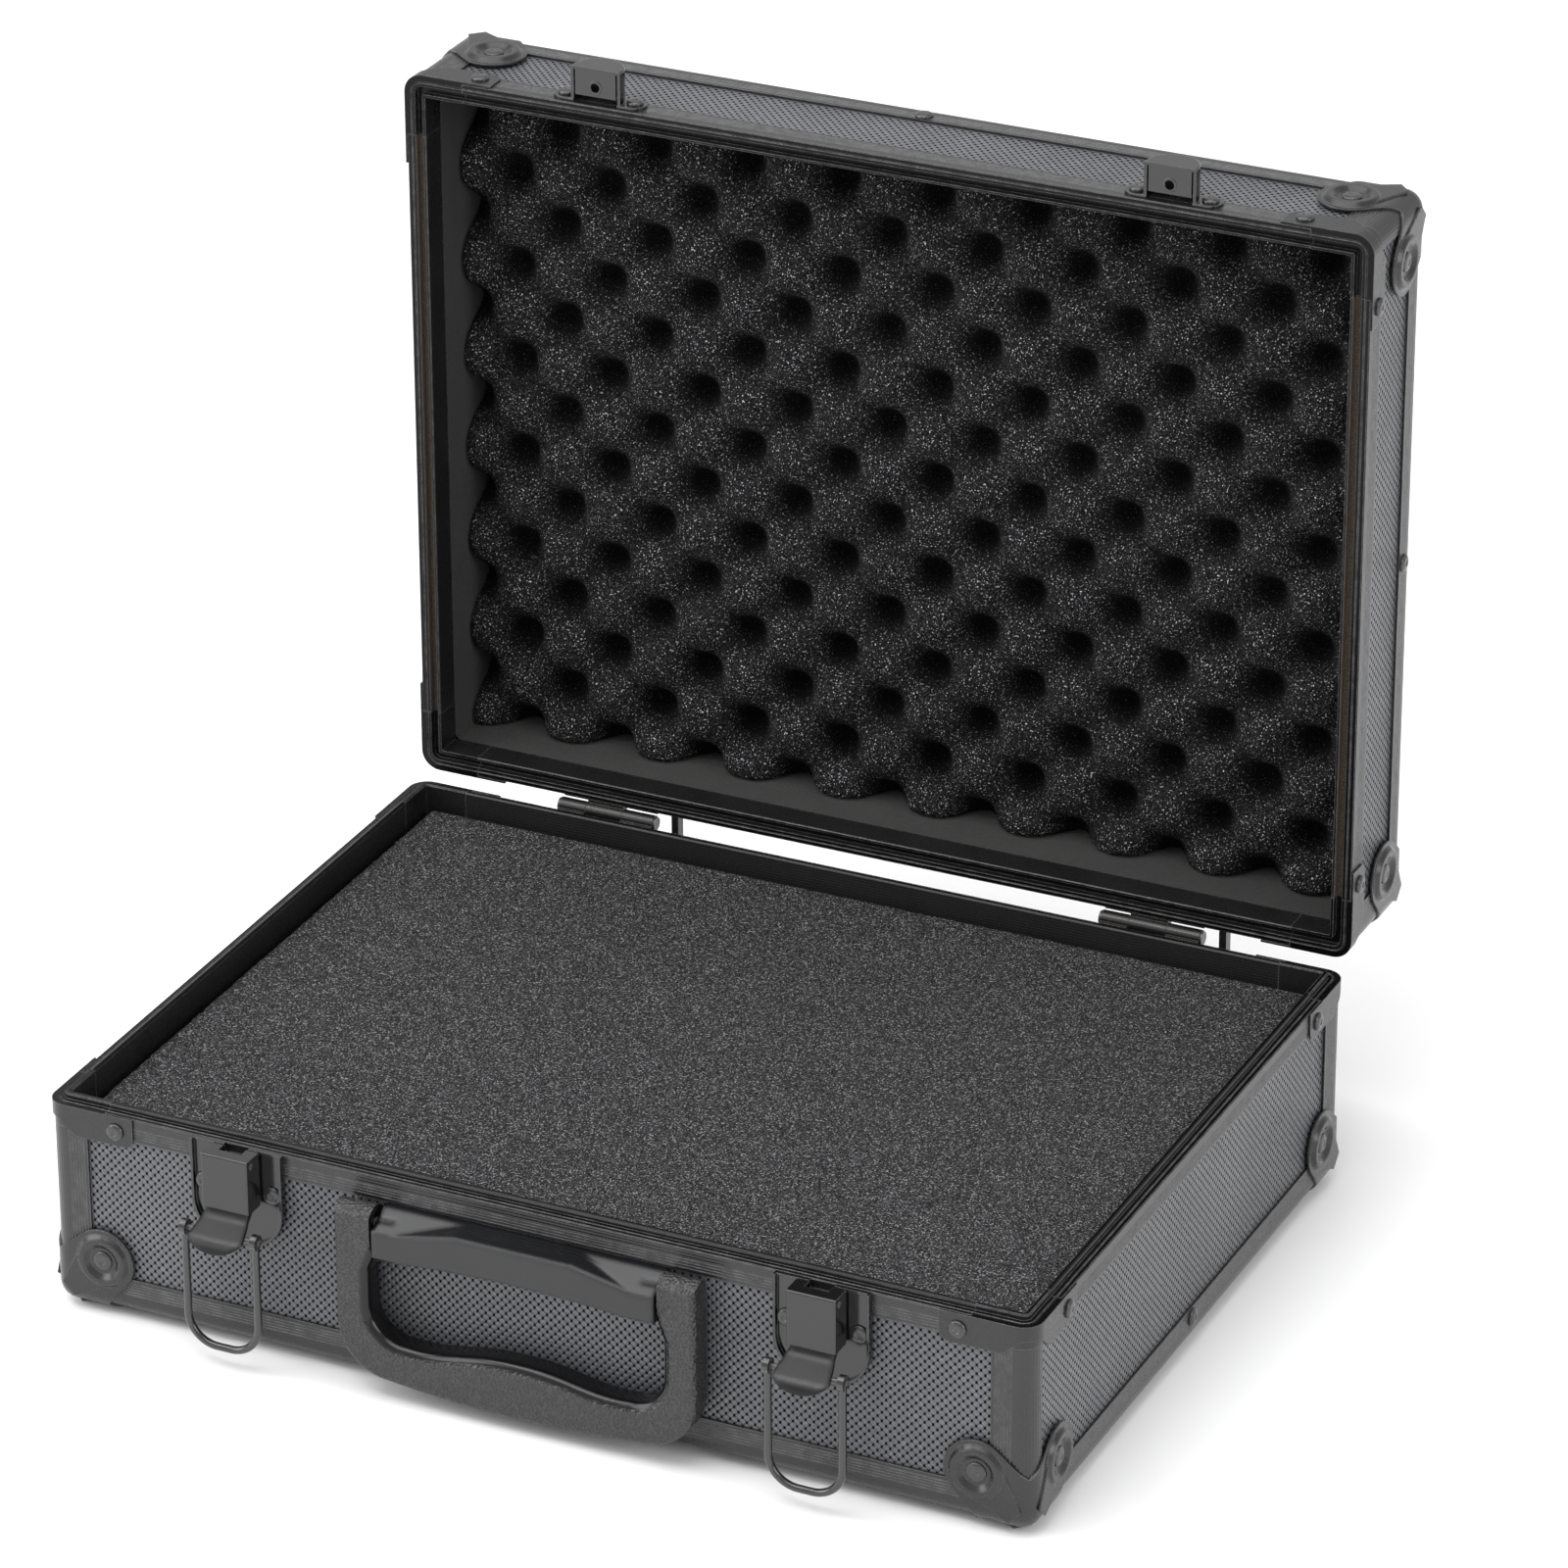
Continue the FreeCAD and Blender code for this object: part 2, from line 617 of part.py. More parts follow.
def hinge_leaf(centre, on_lid):
    """Leaf on the back face.  Base leaf carries the outer knuckles, lid leaf the middle."""
    spans = hinge_spans(centre)
    own = [spans[1]] if on_lid else [spans[0], spans[2]]
    up = 1 if on_lid else -1
    left, right = spans[0][0], spans[2][1]
    leaf_back = HALF_D + LEAF_THICK

    def slice_of(x0, x1, y1, near, far):
        z0, z1 = sorted((HINGE_Z + up * near, HINGE_Z + up * far))
        return block(x0, x1, HALF_D, y1, z0, z1)

    pieces = []
    for x0, x1 in own:
        pieces.append(slice_of(x0, x1, HINGE_Y, 0, KNUCKLE_RADIUS))
        pieces.append(rod(V(x0, HINGE_Y, HINGE_Z), V(1, 0, 0), KNUCKLE_RADIUS, x1 - x0))
    if not on_lid:
        # stop lug beside the barrel: the open lid's back face comes to rest on it
        lug = right + STOP_OFFSET
        pieces.append(slice_of(right - 1, lug + STOP_THICK, leaf_back, 4.0, 18.0))
        stop_z = RIM_Z + HINGE_BEHIND
        section = [V(lug, y, z) for y, z in
                   ((HALF_D + 0.5, RIM_Z - 18), (HALF_D + 0.5, RIM_Z - 4), (HINGE_Y + 0.5, RIM_Z - 3),
                    (HINGE_Y + 0.5, stop_z), (HINGE_Y + 5, stop_z), (HINGE_Y + 5, RIM_Z - 6))]
        pieces.append(prism(section, V(STOP_THICK, 0, 0)))
    leaf = slice_of(left, right, leaf_back, LEAF_CLEAR, LEAF_HEIGHT).fuse(pieces)
    bore = rod(V(left - 1, HINGE_Y, HINGE_Z), V(1, 0, 0), HINGE_PIN_RADIUS + 0.05, right - left + 2)
    return leaf.cut(bore).removeSplitter()


def hinge_rivets(centre, on_lid):
    up = 1 if on_lid else -1
    spots = [V(centre + dx, HALF_D + LEAF_THICK, HINGE_Z + up * dz)
             for dx, dz in ((-15, 12), (15, 12), (0, 20))]
    return [rivet_head(spot, V(0, 1, 0), 3.0, 1.3) for spot in spots]


def build_hinges():
    pins = []
    base_rivets = []
    lid_rivets = []
    for tag, centre in zip(("left", "right"), HINGE_CENTRES):
        add("hinge_base_leaf_" + tag, hinge_leaf(centre, False))
        add("hinge_lid_leaf_" + tag, hinge_leaf(centre, True), True)
        spans = hinge_spans(centre)
        x0, x1 = spans[0][0], spans[2][1]
        pin = rod(V(x0 - 0.4, HINGE_Y, HINGE_Z), V(1, 0, 0), HINGE_PIN_RADIUS, x1 - x0 + 0.8)
        head = rod(V(x1, HINGE_Y, HINGE_Z), V(1, 0, 0), 2.7, 0.9)
        tail = rod(V(x0 - 0.9, HINGE_Y, HINGE_Z), V(1, 0, 0), 2.7, 0.9)
        pins.append(pin.fuse([head, tail]).removeSplitter())
        base_rivets += hinge_rivets(centre, False)
        lid_rivets += hinge_rivets(centre, True)
    add("hinge_pins", group(pins))
    add("hinge_base_rivets", group(base_rivets))
    add("hinge_lid_rivets", group(lid_rivets), True)


# ---- latches -----------------------------------------------------------------------
# Latch points are given as u across the latch, o out from the front face, and z.
def front_point(centre, u, o, z):
    return V(centre + u, -HALF_D - o, z)


def side_prism(cx, u, points, thick):
    """Plate standing across the latch: (out, z) outline from u, thick along X."""
    return prism([front_point(cx, u, o, z) for o, z in points], V(thick, 0, 0))


def latch_plate(cx):
    """D-shaped back plate with a raised flange, a top lip and two ears for the pin."""
    def dee(shrink, o0, o1):
        half, low, r = PLATE_HALF - shrink, PLATE_BOTTOM + shrink, PLATE_ROUND - shrink
        q = r * (1 - math.sqrt(0.5))

        def p(u, z):
            return front_point(cx, u, o0, z)

        loop = outline([p(-half, PLATE_TOP), p(-half, low + r),
                        ("arc", p(-half + q, low + q), p(-half + r, low)), p(half - r, low),
                        ("arc", p(half - q, low + q), p(half, low + r)), p(half, PLATE_TOP)])
        return Part.Face(loop).extrude(V(0, o0 - o1, 0))

    plate = dee(0, 0, PLATE_THICK)
    flange = dee(0, 0, PLATE_FLANGE).cut(dee(1.0, -1, PLATE_FLANGE + 1))
    lip = block(cx - PLATE_HALF, cx + PLATE_HALF, -HALF_D - 1.7, -HALF_D, PLATE_TOP - 1, PLATE_TOP)
    ears = []
    for u in (-EAR_HALF, EAR_HALF - EAR_THICK):
        ears.append(rod(front_point(cx, u, LEVER_AXIS_OUT, LEVER_AXIS_Z), V(1, 0, 0), EAR_ROUND, EAR_THICK))
        ears.append(side_prism(cx, u, ((0.5, 71.0), (0.5, 79.5), (LEVER_AXIS_OUT - 1.1, LEVER_AXIS_Z - 0.9),
                                       (LEVER_AXIS_OUT + 1.4, LEVER_AXIS_Z - 0.9)), EAR_THICK))
    plate = plate.fuse([flange, lip] + ears)
    notch = block(cx - 5, cx + 5, -HALF_D - 6, -HALF_D + 1, PLATE_TOP - 3, PLATE_TOP + 1)
    hole = rod(front_point(cx, -12, LEVER_AXIS_OUT, LEVER_AXIS_Z), V(1, 0, 0), LEVER_PIN_RADIUS, 24)
    return plate.cut([notch, hole]).removeSplitter()


def latch_cover(cx):
    """Pressed box over the upper part of the lever, open at the back and below."""
    half, w = COVER_HALF, COVER_WALL
    shape = block(cx - half, cx + half, -HALF_D - COVER_FRONT, -HALF_D - COVER_BACK,
                  COVER_BOTTOM, PLATE_TOP)
    creases = [e for e in shape.Edges
               if abs(e.CenterOfMass.y + HALF_D + COVER_FRONT) < 1e-6
               and e.CenterOfMass.z > COVER_BOTTOM + 1]
    shape = shape.makeFillet(0.8, creases)
    hollow = block(cx - half + w, cx + half - w, -HALF_D - COVER_FRONT + w, -HALF_D,
                   COVER_BOTTOM - 1, PLATE_TOP - w)
    slot = block(cx - SLOT_HALF, cx + SLOT_HALF, -HALF_D - COVER_BACK - 4, -HALF_D,
                 PLATE_TOP - 3, PLATE_TOP + 1)
    hole = rod(front_point(cx, -12, LEVER_AXIS_OUT, LEVER_AXIS_Z), V(1, 0, 0),
               LEVER_PIN_RADIUS + 0.05, 24)
    return shape.cut([hollow, slot, hole]).removeSplitter()


def latch_lever(cx):
    """Lever: two cheeks hung on the top pin, a front web and a flared thumb tab."""
    front = COVER_FRONT - COVER_WALL - 0.05
    pieces = []
    for u in (-CHEEK_HALF, CHEEK_HALF - CHEEK_THICK):
        pieces.append(rod(front_point(cx, u, LEVER_AXIS_OUT, LEVER_AXIS_Z), V(1, 0, 0), 1.8, CHEEK_THICK))
        pieces.append(side_prism(cx, u, ((LEVER_AXIS_OUT - 1.8, LEVER_AXIS_Z), (front, LEVER_AXIS_Z),
                                         (front, 63.0), (18.2, 58.3), (17.6, 55.7), (15.0, 55.7),
                                         (4.0, 66.0), (4.0, 76.0)), CHEEK_THICK))
    pieces.append(block(cx - CHEEK_HALF, cx + CHEEK_HALF, -HALF_D - front, -HALF_D - front + 1.0, 62.8, 79.0))
    # thumb tab: a smoothly curved sheet in side view, flared to a rounded lip in front view
    def side(o, z):
        return front_point(cx, -12, o, z)

    tab = outline([side(front - 1.0, 66.0), side(front, 66.0), side(front, 64.8),
                   ("curve", side(11.2, 63.1), side(12.7, 61.7), side(14.8, 60.4), side(17.4, 59.1),
                    side(20.2, 57.3), side(22.5, 55.2), side(TAB_REACH, 52.6)),
                   side(TAB_REACH - 1.1, 52.6),
                   ("curve", side(21.6, 54.6), side(19.5, 56.4), side(16.9, 58.15), side(14.2, 59.5),
                    side(11.9, 60.9), side(10.3, 62.4), side(front - 1.0, 64.2))])
    sheet = Part.Face(tab).extrude(V(24, 0, 0))
    half = 8.25
    loop = outline([front_point(cx, u, 0, z) for u, z in
                    ((-half, 66), (-half, 64.4), (-10.2, 59.6), (-11.25, 56.8))]
                   + [("arc", front_point(cx, 0, 0, 52.8), front_point(cx, 11.25, 0, 56.8))]
                   + [front_point(cx, u, 0, z) for u, z in ((10.2, 59.6), (half, 64.4), (half, 66))])
    sheet = sheet.common(Part.Face(loop).extrude(V(0, -30, 0)))
    pieces.append(sheet)
    body = pieces[0].fuse(pieces[1:])
    holes = [rod(front_point(cx, -12, LEVER_AXIS_OUT, LEVER_AXIS_Z), V(1, 0, 0), LEVER_PIN_RADIUS + 0.05, 24),
             rod(front_point(cx, -12, BAIL_AXIS_OUT, BAIL_AXIS_Z), V(1, 0, 0), BAIL_PIN_RADIUS, 24)]
    return body.cut(holes).removeSplitter()


def latch_bail(cx):
    """Wire loop with a flattened eye at the top of each arm."""
    arm, r, bend = BAIL_ARM, BAIL_WIRE, BAIL_BEND
    low, top = BAIL_LOW, BAIL_AXIS_Z
    q = bend * (1 - math.sqrt(0.5))

    def p(u, z):
        return front_point(cx, u, BAIL_AXIS_OUT, z)

    path = Part.Wire([
        Part.LineSegment(p(-arm, top), p(-arm, low + bend)).toShape(),
        Part.Arc(p(-arm, low + bend), p(-arm + q, low + q), p(-arm + bend, low)).toShape(),
        Part.LineSegment(p(-arm + bend, low), p(arm - bend, low)).toShape(),
        Part.Arc(p(arm - bend, low), p(arm - q, low + q), p(arm, low + bend)).toShape(),
        Part.LineSegment(p(arm, low + bend), p(arm, top)).toShape()])
    section = Part.Wire(Part.makeCircle(r, p(-arm, top), V(0, 0, -1)))
    wire = path.makePipeShell([section], True, False)
    eyes = [rod(p(s * arm - r * 0.8, top), V(1, 0, 0), BAIL_EYE, r * 1.6) for s in (-1, 1)]
    hole = rod(p(-20, top), V(1, 0, 0), BAIL_PIN_RADIUS + 0.05, 40)
    clear = rod(p(-arm - 3, top), V(1, 0, 0), BAIL_EYE, 3 - r * 0.8)
    return wire.fuse(eyes).cut([hole, clear]).removeSplitter()


def catch(cx):
    """Hollow D-shaped hood on two riveted feet, its pierced flat turned to the base."""
    w, reach = CATCH_WALL, CATCH_REACH

    def dee(shrink, o0, o1, flat):
        half = CATCH_HALF - shrink

        def p(u, z):
            return front_point(cx, u, o0, z)

        loop = outline([p(-half, flat), p(-half, CATCH_ROUND_Z),
                        ("arc", p(0, CATCH_ROUND_Z + half), p(half, CATCH_ROUND_Z)), p(half, flat)])
        return Part.Face(loop).extrude(V(0, o0 - o1, 0))

    hood = dee(0, 0, reach, CATCH_FLAT_Z)
    brow = [e for e in hood.Edges if e.BoundBox.YLength < 1e-5
            and abs(e.BoundBox.YMin + HALF_D + reach) < 1e-5 and e.BoundBox.ZLength > 1]
    hood = hood.makeFillet(0.8, brow).cut(dee(w, -1, reach - w, CATCH_FLAT_Z - 1))
    tab = block(cx - CATCH_TAB_HALF, cx + CATCH_TAB_HALF, -HALF_D - reach + w - 0.5,
                -HALF_D - CATCH_TAB_BACK, CATCH_FLAT_Z, CATCH_FLAT_Z + w)
    tab = tab.cut(rod(V(cx, -HALF_D - CATCH_HOLE_OUT, CATCH_FLAT_Z - 1), V(0, 0, 1), 1.9, 4))
    rim_out = rod(V(cx, -HALF_D - CATCH_HOLE_OUT, CATCH_FLAT_Z - 0.4), V(0, 0, 1), 2.7, 0.6)
    rim_hole = rod(V(cx, -HALF_D - CATCH_HOLE_OUT, CATCH_FLAT_Z - 1), V(0, 0, 1), 1.9, 4)
    pieces = [tab, rim_out.cut(rim_hole)]
    for s in (-1, 1):
        u = s * (CATCH_FOOT_HALF - 4.75)
        pieces.append(rod(front_point(cx, u, 0, 93.25), V(0, -1, 0), 4.75, w))
        u0, u1 = sorted((s * (CATCH_HALF - w), u))
        pieces.append(block(cx + u0, cx + u1, -HALF_D - w, -HALF_D, 88.5, 98.0))
    return hood.fuse(pieces).cut(dee(w, -1, 2, CATCH_FLAT_Z + w)).removeSplitter()


def build_latches():
    plate_rivets = []
    catch_rivets = []
    lever_pins = []
    for tag, cx in zip(("left", "right"), LATCH_CENTRES):
        add("latch_plate_" + tag, latch_plate(cx))
        add("latch_cover_" + tag, latch_cover(cx))
        add("latch_lever_" + tag, latch_lever(cx))
        add("latch_bail_pin_" + tag, rod(front_point(cx, -BAIL_PIN_HALF, BAIL_AXIS_OUT, BAIL_AXIS_Z),
                                         V(1, 0, 0), BAIL_PIN_RADIUS, 2 * BAIL_PIN_HALF))
        add("latch_bail_" + tag, latch_bail(cx))
        add("latch_catch_" + tag, catch(cx), True)
        lever_pins.append(rod(front_point(cx, -COVER_HALF - 0.4, LEVER_AXIS_OUT, LEVER_AXIS_Z),
                              V(1, 0, 0), LEVER_PIN_RADIUS, 2 * COVER_HALF + 0.8))
        for s in (-1, 1):
            spot = front_point(cx, s * PLATE_RIVET_SIDE, PLATE_THICK, PLATE_RIVET_Z)
            plate_rivets.append(rivet_head(spot, V(0, -1, 0), 3.5, 1.5))
            spot = front_point(cx, s * (CATCH_HALF + 4.1), CATCH_WALL, CATCH_RIVET_Z)
            catch_rivets.append(rivet_head(spot, V(0, -1, 0), 3.3, 1.5))
    add("latch_lever_pins", group(lever_pins))
    add("latch_plate_rivets", group(plate_rivets))
    add("latch_catch_rivets", group(catch_rivets), True)


# ---- carrying handle ---------------------------------------------------------------
def handle_grip():
    """One moulded bow: two lugs and a grip whose inner edge is waved for the fingers."""
    def p(u, z):
        return V(u, -HALF_D - HANDLE_BACK, z)

    h, i = HANDLE_HALF, LUG_INNER
    top = HANDLE_PIVOT_Z + HANDLE_LUG_ROUND
    right = [p(45.0, 25.0), ("arc", p(56.0, 29.4), p(i + 1.5, 39.5)), p(i + 1.5, 54.0), p(i, 58.0),
             p(i, top), p(h, top), p(h, 30.0), ("arc", p(66.9, 15.4), p(53.0, 9.2)),
             ("arc", p(0, 6.0), p(-53.0, 9.2))]
    left = [("arc", p(-66.9, 15.4), p(-h, 30.0)), p(-h, top), p(-i, top), p(-i, 58.0),
            p(-i - 1.5, 54.0), p(-i - 1.5, 39.5), ("arc", p(-56.0, 29.4), p(-45.0, 25.0)),
            ("curve", p(-30.0, 25.6), p(-14.0, 28.4), p(0, 29.2), p(14.0, 28.4), p(30.0, 25.6),
             p(45.0, 25.0))]
    bow = Part.Face(outline(right + left)).extrude(V(0, HANDLE_BACK - HANDLE_FRONT, 0))
    inner = [e for e in bow.Edges if e.BoundBox.YLength < 1e-5 and e.BoundBox.ZMin < 57
             and e.BoundBox.ZMin > 20 and abs(e.CenterOfMass.x) < 61 and e.CenterOfMass.y < -HALF_D - 5]
    bow = bow.makeFillet(4.2, inner)
    rims = [e for e in bow.Edges if e.BoundBox.YLength < 1e-5 and e.BoundBox.ZMin < 57
            and (abs(e.CenterOfMass.x) > 66 or e.BoundBox.ZMin < 10 or e.CenterOfMass.y > -HALF_D - 5)]
    bow = bow.makeFillet(2.4, rims)
    # the lugs are rounded about the pivot so that the handle can swing
    upper = block(-h - 1, h + 1, -HALF_D - 20, -HALF_D + 1, HANDLE_PIVOT_Z, 100)
    wheel = rod(V(-h - 1, -HALF_D - HANDLE_PIVOT_OUT, HANDLE_PIVOT_Z), V(1, 0, 0),
                HANDLE_LUG_ROUND, 2 * h + 2)
    bow = bow.cut(upper.cut(wheel))
    hole = rod(V(-66, -HALF_D - HANDLE_PIVOT_OUT, HANDLE_PIVOT_Z), V(1, 0, 0),
               HANDLE_PIN_RADIUS + 0.1, 132)
    return bow.cut(hole)


def handle_bracket():
    """Wedge-shaped moulding riveted to the front, with raised middle and arched foot."""
    b, f, back = BRACKET_HALF, BRACKET_FRONT, -LEG_THICK

    def p(u, z):
        return V(u, -HALF_D - back, z)

    low, high, ends = BRACKET_BOTTOM, BRACKET_BACK_TOP, 72.0
    face = Part.Face(outline([p(-b, ends), p(-b, low), p(-b + 12, low),
                              ("arc", p(0, low + 2.1), p(b - 12, low)), p(b, low), p(b, ends),
                              p(50, ends), p(24, high), p(-24, high), p(-50, ends)]))
    middle = face.extrude(V(0, back - f, 0))
    wedge_section = [V(-b, -HALF_D - o, z) for o, z in
                     ((back, low), (back, high), (3.0, high), (f, ends), (f, low))]
    foot = rod(V(0, -HALF_D - back, low - 465.0), V(0, -1, 0), 467.1, 40)
    ramp = prism(wedge_section, V(2 * b, 0, 0)).cut(foot)
    body = middle.fuse(ramp).removeSplitter()
    brow = [e for e in body.Edges if abs(e.BoundBox.YMax + HALF_D + f) < 1e-4
            and abs(e.BoundBox.YMin + HALF_D + f) < 1e-4]
    body = body.makeFillet(BRACKET_ROUND, brow)
    pins = [rod(V(s * 50.0, -HALF_D - HANDLE_PIVOT_OUT, HANDLE_PIVOT_Z), V(s, 0, 0),
                HANDLE_PIN_RADIUS, 14) for s in (-1, 1)]
    return body.cut(pins).removeSplitter()


def build_handle():
    add("handle_grip", handle_grip())
    add("handle_bracket", handle_bracket())
    pins = [rod(V(s * 50.0, -HALF_D - HANDLE_PIVOT_OUT, HANDLE_PIVOT_Z), V(s, 0, 0),
                HANDLE_PIN_RADIUS, 16) for s in (-1, 1)]
    add("handle_pivot_pins", group(pins))


build_shell("base", BASE_HEIGHT, BASE_EDGE_LEG, BASE_RIM_LEG, True)
build_shell("lid", LID_HEIGHT, LID_EDGE_LEG, LID_RIM_LEG, False)
build_foam()
build_hinges()
build_latches()
build_handle()

for name, shape in nodes.items():
    if name in lid_nodes:
        shape.rotate(V(0, HINGE_Y, HINGE_Z), V(1, 0, 0), -LID_OPEN_ANGLE)
    shape.translate(V(0, -FOOTPRINT_MIDDLE, 0))
    shape.exportStep("parts/" + name + ".step")
    print(name, len(shape.Solids), "solids", round(shape.Volume), "mm3", shape.isValid())
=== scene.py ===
import bpy
import json
import math
from mathutils import Matrix, Vector, noise


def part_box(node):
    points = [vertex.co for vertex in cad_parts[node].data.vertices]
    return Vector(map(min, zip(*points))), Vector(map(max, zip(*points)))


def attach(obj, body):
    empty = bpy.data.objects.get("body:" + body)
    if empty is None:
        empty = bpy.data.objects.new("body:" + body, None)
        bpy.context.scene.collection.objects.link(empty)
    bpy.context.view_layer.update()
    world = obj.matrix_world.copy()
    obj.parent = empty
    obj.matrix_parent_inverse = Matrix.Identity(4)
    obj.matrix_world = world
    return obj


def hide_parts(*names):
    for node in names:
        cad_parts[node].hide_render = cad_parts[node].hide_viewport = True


# Looks of the small aluminium-framed attache case.  Metres, in the frame of the CAD.
# +X right, +Y to the hinges, +Z up; the case stands open on z = 0.

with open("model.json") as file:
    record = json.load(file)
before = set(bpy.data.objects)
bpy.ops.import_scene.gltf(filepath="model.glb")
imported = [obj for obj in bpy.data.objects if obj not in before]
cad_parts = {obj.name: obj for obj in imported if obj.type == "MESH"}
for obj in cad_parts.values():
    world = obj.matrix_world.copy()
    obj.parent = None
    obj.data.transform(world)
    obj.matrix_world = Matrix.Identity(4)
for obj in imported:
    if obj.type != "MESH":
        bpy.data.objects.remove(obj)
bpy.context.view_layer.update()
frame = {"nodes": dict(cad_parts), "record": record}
nodes = frame["nodes"]

MM = 0.001
X, Y, Z = Vector((1, 0, 0)), Vector((0, 1, 0)), Vector((0, 0, 1))

# ---- sizes and colours of the surfaces ---------------------------------------------
STUD_PITCH = (3.35 * MM, 3.6 * MM)       # along the rows and from row to row
STUD_SPREAD = 1.95                       # a stud's radius squared, in square millimetres
STUD_HEIGHT = 0.36 * MM
RIB_PITCH = 1.2 * MM
RIB_HEIGHT = 0.07 * MM
SEAL_X = (0.1929, 0.1963)                # the lid's sealing strips lie between these, on both sides,
SEAL_Y = 0.1375                          # and in front of this
LIP_X = (66 * MM, 63 * MM)               # where the grip's smooth inner edge starts on its arms
LIP_Z = (58 * MM, 50 * MM)               # and along its bottom
LIP_FACING = (0.15, 0.45)

DARK_FILM = (0.014, 0.0136, 0.014)
CORNER_TONE = (0.008, 0.008, 0.0085)
RIM_CORNER_TONE = (0.009, 0.009, 0.0095)
PLATED_TONE = (0.006, 0.006, 0.0065)
HINGE_TONE = (0.008, 0.0073, 0.007)
# painted shade for the faces of the rims that meet when the case is shut
MATING_FACE_SHADE = (0.002, 0.002, 0.0021)
MATING_SPECULAR = 0.16
# painted shade for the lines along an extrusion's fine ribs
PAINTED_RIB_SHADE = (0.002, 0.002, 0.002)
# painted shade for the hollows between the board's studs
PAINTED_PIT_SHADE = (0.003, 0.003, 0.004)
DEEP_FOAM_TONE = (0.0015, 0.0015, 0.0015)


# ---- node materials ----------------------------------------------------------------
class Shader:
    """A Principled material that is built up node by node."""

    def __init__(self, name, rough=0.5, specular=0.5, coat=0.0):
        self.mat = bpy.data.materials.new(name)
        self.mat.use_nodes = True
        self.tree = self.mat.node_tree
        self.bsdf = self.tree.nodes["Principled BSDF"]
        self.set("Roughness", rough)
        self.set("Metallic", 0.0)
        self.set("Specular IOR Level", specular)
        self.set("Coat Weight", coat)
        self.set("Coat Roughness", 0.12)

    def set(self, socket, value):
        self.bsdf.inputs[socket].default_value = value

    def link(self, out, socket):
        self.tree.links.new(out, self.bsdf.inputs[socket])

    def join(self, socket, value):
        """Feed a node's socket with another node's output or with a plain value."""
        if isinstance(value, bpy.types.NodeSocket):
            self.tree.links.new(value, socket)
        else:
            socket.default_value = value

    def node(self, kind, settings=None, **inputs):
        """A node with its inputs by name, or by number as i0, i1 and so on."""
        made = self.tree.nodes.new(kind)
        for key, value in (settings or {}).items():
            setattr(made, key, value)
        for key, value in inputs.items():
            by_number = key[0] == "i" and key[1:].isdigit()
            self.join(made.inputs[int(key[1:]) if by_number else key], value)
        return made

    def place(self):
        return self.node("ShaderNodeTexCoord").outputs["Object"]

    def axes(self):
        """The x, y and z of the place, as outputs 0, 1 and 2."""
        return self.node("ShaderNodeSeparateXYZ", i0=self.place()).outputs

    def facing(self):
        """The x, y and z of the surface's normal, as outputs 0, 1 and 2."""
        normal = self.node("ShaderNodeTexCoord").outputs["Normal"]
        return self.node("ShaderNodeSeparateXYZ", i0=normal).outputs

    def noise(self, scale, detail=2.0, rough=0.5):
        return self.node("ShaderNodeTexNoise", Scale=scale, Detail=detail, Roughness=rough,
                         Vector=self.place()).outputs["Fac"]

    def cells(self, scale):
        return self.node("ShaderNodeTexVoronoi", Scale=scale, Vector=self.place()).outputs["Distance"]

    def math(self, op, a, b=0.0, c=0.0, clamp=False):
        settings = {"operation": op, "use_clamp": clamp}
        return self.node("ShaderNodeMath", settings, i0=a, i1=b, i2=c).outputs[0]

    def fit(self, value, low, high, to_low=0.0, to_high=1.0):
        """value taken from the range low..high to to_low..to_high, and held there."""
        return self.node("ShaderNodeMapRange", {"clamp": True}, i0=value, i1=low, i2=high,
                         i3=to_low, i4=to_high).outputs[0]

    def mix(self, share, a, b):
        """Colour between a, where share is 0, and b, where it is 1."""
        made = self.node("ShaderNodeMix", {"data_type": "RGBA"})
        self.join(made.inputs[0], share)
        for socket, colour in ((made.inputs[6], a), (made.inputs[7], b)):
            self.join(socket, (*colour, 1.0) if isinstance(colour, tuple) else colour)
        return made.outputs[2]

    def worn_edges(self, radius):
        return self.node("ShaderNodeBevel", {"samples": 4}, Radius=radius).outputs[0]

    def edge_share(self, radius):
        """1 along edges and 0 on flats, from how far the bevelled normal leans away."""
        flat = self.node("ShaderNodeNewGeometry").outputs["Normal"]
        lean = self.node("ShaderNodeVectorMath", {"operation": "DOT_PRODUCT"}, i0=flat,
                         i1=self.worn_edges(radius)).outputs["Value"]
        return self.fit(lean, 0.995, 0.9)

    def bump(self, height, distance, strength=1.0, under=None):
        made = self.node("ShaderNodeBump", Height=height, Distance=distance, Strength=strength)
        if under is not None:
            self.tree.links.new(under, made.inputs["Normal"])
        return made.outputs[0]


def stud_domes(s, across, up):
    """1 on top of the staggered round studs and 0 between them; across and up are the face's axes."""
    axes = s.axes()
    domes = []
    for stagger in (0.0, 0.5):
        squares = []
        for axis, pitch in ((across, STUD_PITCH[0]), (up, STUD_PITCH[1])):
            turns = s.math("MULTIPLY_ADD", axes["XYZ".index(axis)], 1.0 / pitch, stagger)
            off = s.math("SUBTRACT", s.math("FRACT", turns), 0.5)
            millimetres = s.math("MULTIPLY", off, pitch / MM)
            squares.append(s.math("POWER", s.math("ABSOLUTE", millimetres), 2.0))
        fall = s.math("MULTIPLY", s.math("ADD", *squares), 1.0 / STUD_SPREAD)
        domes.append(s.math("SUBTRACT", 1.0, fall, clamp=True))
    return s.math("POWER", s.math("MAXIMUM", *domes), 0.6)


